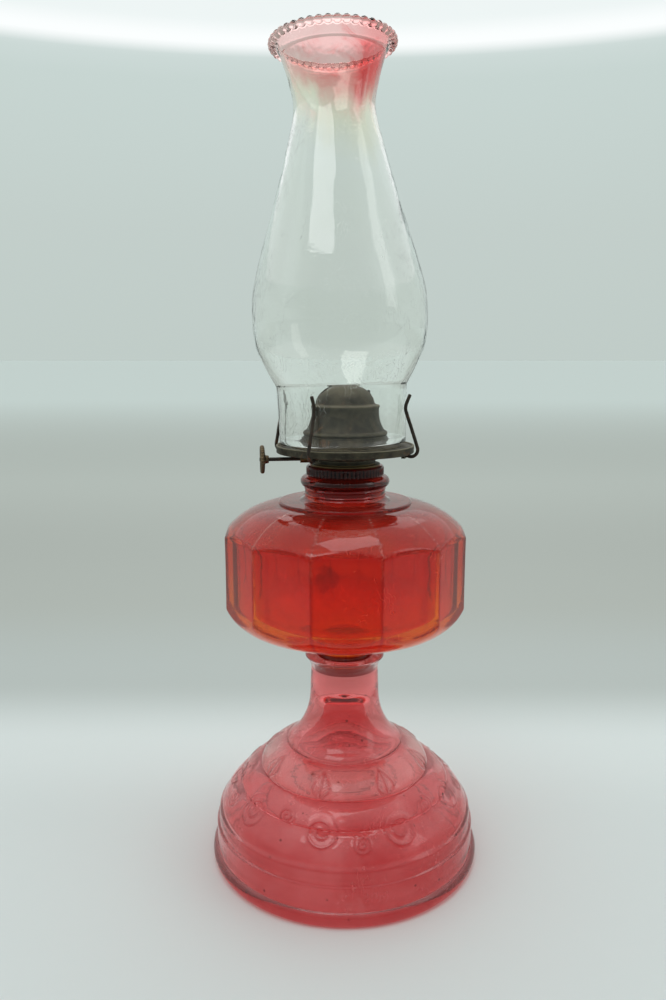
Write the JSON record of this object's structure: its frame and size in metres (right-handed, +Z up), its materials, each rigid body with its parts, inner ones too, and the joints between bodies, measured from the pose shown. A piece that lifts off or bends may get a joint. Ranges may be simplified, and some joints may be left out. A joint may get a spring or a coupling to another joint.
{
  "type": "oil lamp",
  "caption": "Table oil lamp: pressed-glass pedestal and faceted font, screw-in flat-wick burner with sprung prongs, lift-off glass chimney.",
  "frame": {"origin": "on the floor under the middle of the foot", "axes": "+Z up the lamp's axis; -Y towards the panel that faces forward; the wick knob points close to -X"},
  "size_m": [0.1608, 0.1608, 0.4648],
  "materials": {
    "rose_glass": "pressed glass with a worn rose stain",
    "ruby_glass": "pressed glass with a worn orange-red stain",
    "clear_glass": "thin clear glass, flashed red at the crown",
    "aged_brass": "brown-black patina on spun brass",
    "inner_brass": "dull brass",
    "knob_brass": "tarnished brass",
    "dark_wire": "rust-brown spring wire",
    "wick_cotton": "woven cotton tape",
    "cement": "plaster cement"
  },
  "bodies": {
    "glass_base": {"pedestal": "rose_glass", "stem_cement": "cement", "font": "ruby_glass", "collar_cement": "cement", "thread_collar": "inner_brass"},
    "thread_ring": {"burner_thread_ring": "inner_brass"},
    "burner": {"burner_body": "aged_brass", "inner_cap": "inner_brass", "air_screen": "inner_brass", "gallery": "aged_brass", "prong_clips": "aged_brass", "wick_tube": "inner_brass", "vent_tube": "inner_brass", "spindle_housing": "inner_brass", "spindle_bushing": "inner_brass"},
    "wick_drive": {"wick_spindle": "dark_wire", "spur_wheel_inner": "inner_brass", "spur_wheel_outer": "inner_brass", "wick_knob": "knob_brass"},
    "wick_strip": {"wick": "wick_cotton"},
    "deflector_cone": {"deflector": "aged_brass"},
    "front_left_prong": {"prong_front_left": "dark_wire"},
    "front_right_prong": {"prong_front_right": "dark_wire"},
    "back_right_prong": {"prong_back_right": "dark_wire"},
    "back_left_prong": {"prong_back_left": "dark_wire"},
    "glass_chimney": {"chimney": "clear_glass"}
  },
  "joints": [
    {"name": "burner_rise", "type": "slide", "parent": "glass_base", "child": "thread_ring", "axis": [0, 0, 1], "range_m": [0, 0.00635]},
    {"name": "burner_turn", "type": "hinge", "parent": "thread_ring", "child": "burner", "pos_m": [0, 0, 0.2387], "axis": [0, 0, 1], "range_deg": [0, 1260]},
    {"name": "wick_turn", "type": "hinge", "parent": "burner", "child": "wick_drive", "pos_m": [0.00076, -0.00575, 0.2416], "axis": [-0.9914, -0.1305, 0], "range_deg": [-172, 114.7]},
    {"name": "wick_raise", "type": "slide", "parent": "burner", "child": "wick_strip", "axis": [0, 0, 1], "range_m": [-0.008, 0.012]},
    {"name": "deflector_lift", "type": "slide", "parent": "burner", "child": "deflector_cone", "axis": [0, 0, 1], "range_m": [0, 0.012]},
    {"name": "chimney_lift", "type": "slide", "parent": "burner", "child": "glass_chimney", "axis": [-0.0271, 0.0271, 0.9993], "range_m": [0, 0.045]},
    {"name": "front_left_flex", "type": "hinge", "parent": "burner", "child": "front_left_prong", "pos_m": [-0.01589, -0.03119, 0.24488], "axis": [0.891, -0.454, 0], "range_deg": [0, 12], "stiffness_Nm_per_rad": 0.5, "springref_deg": -2.86},
    {"name": "front_right_flex", "type": "hinge", "parent": "burner", "child": "front_right_prong", "pos_m": [0.03245, -0.01311, 0.24488], "axis": [0.3746, 0.9272, 0], "range_deg": [0, 12], "stiffness_Nm_per_rad": 0.5, "springref_deg": -2.86},
    {"name": "back_right_flex", "type": "hinge", "parent": "burner", "child": "back_right_prong", "pos_m": [0.01311, 0.03245, 0.24488], "axis": [-0.9272, 0.3746, 0], "range_deg": [0, 12], "stiffness_Nm_per_rad": 0.5, "springref_deg": -2.86},
    {"name": "back_left_flex", "type": "hinge", "parent": "burner", "child": "back_left_prong", "pos_m": [-0.03197, 0.01424, 0.24488], "axis": [-0.4067, -0.9135, 0], "range_deg": [0, 12], "stiffness_Nm_per_rad": 0.5, "springref_deg": -2.86}
  ],
  "couplings": [
    {"joint": "burner_turn", "follows": "burner_rise", "rad_per_m": 3463.2},
    {"joint": "wick_turn", "follows": "wick_raise", "rad_per_m": -250}
  ]
}
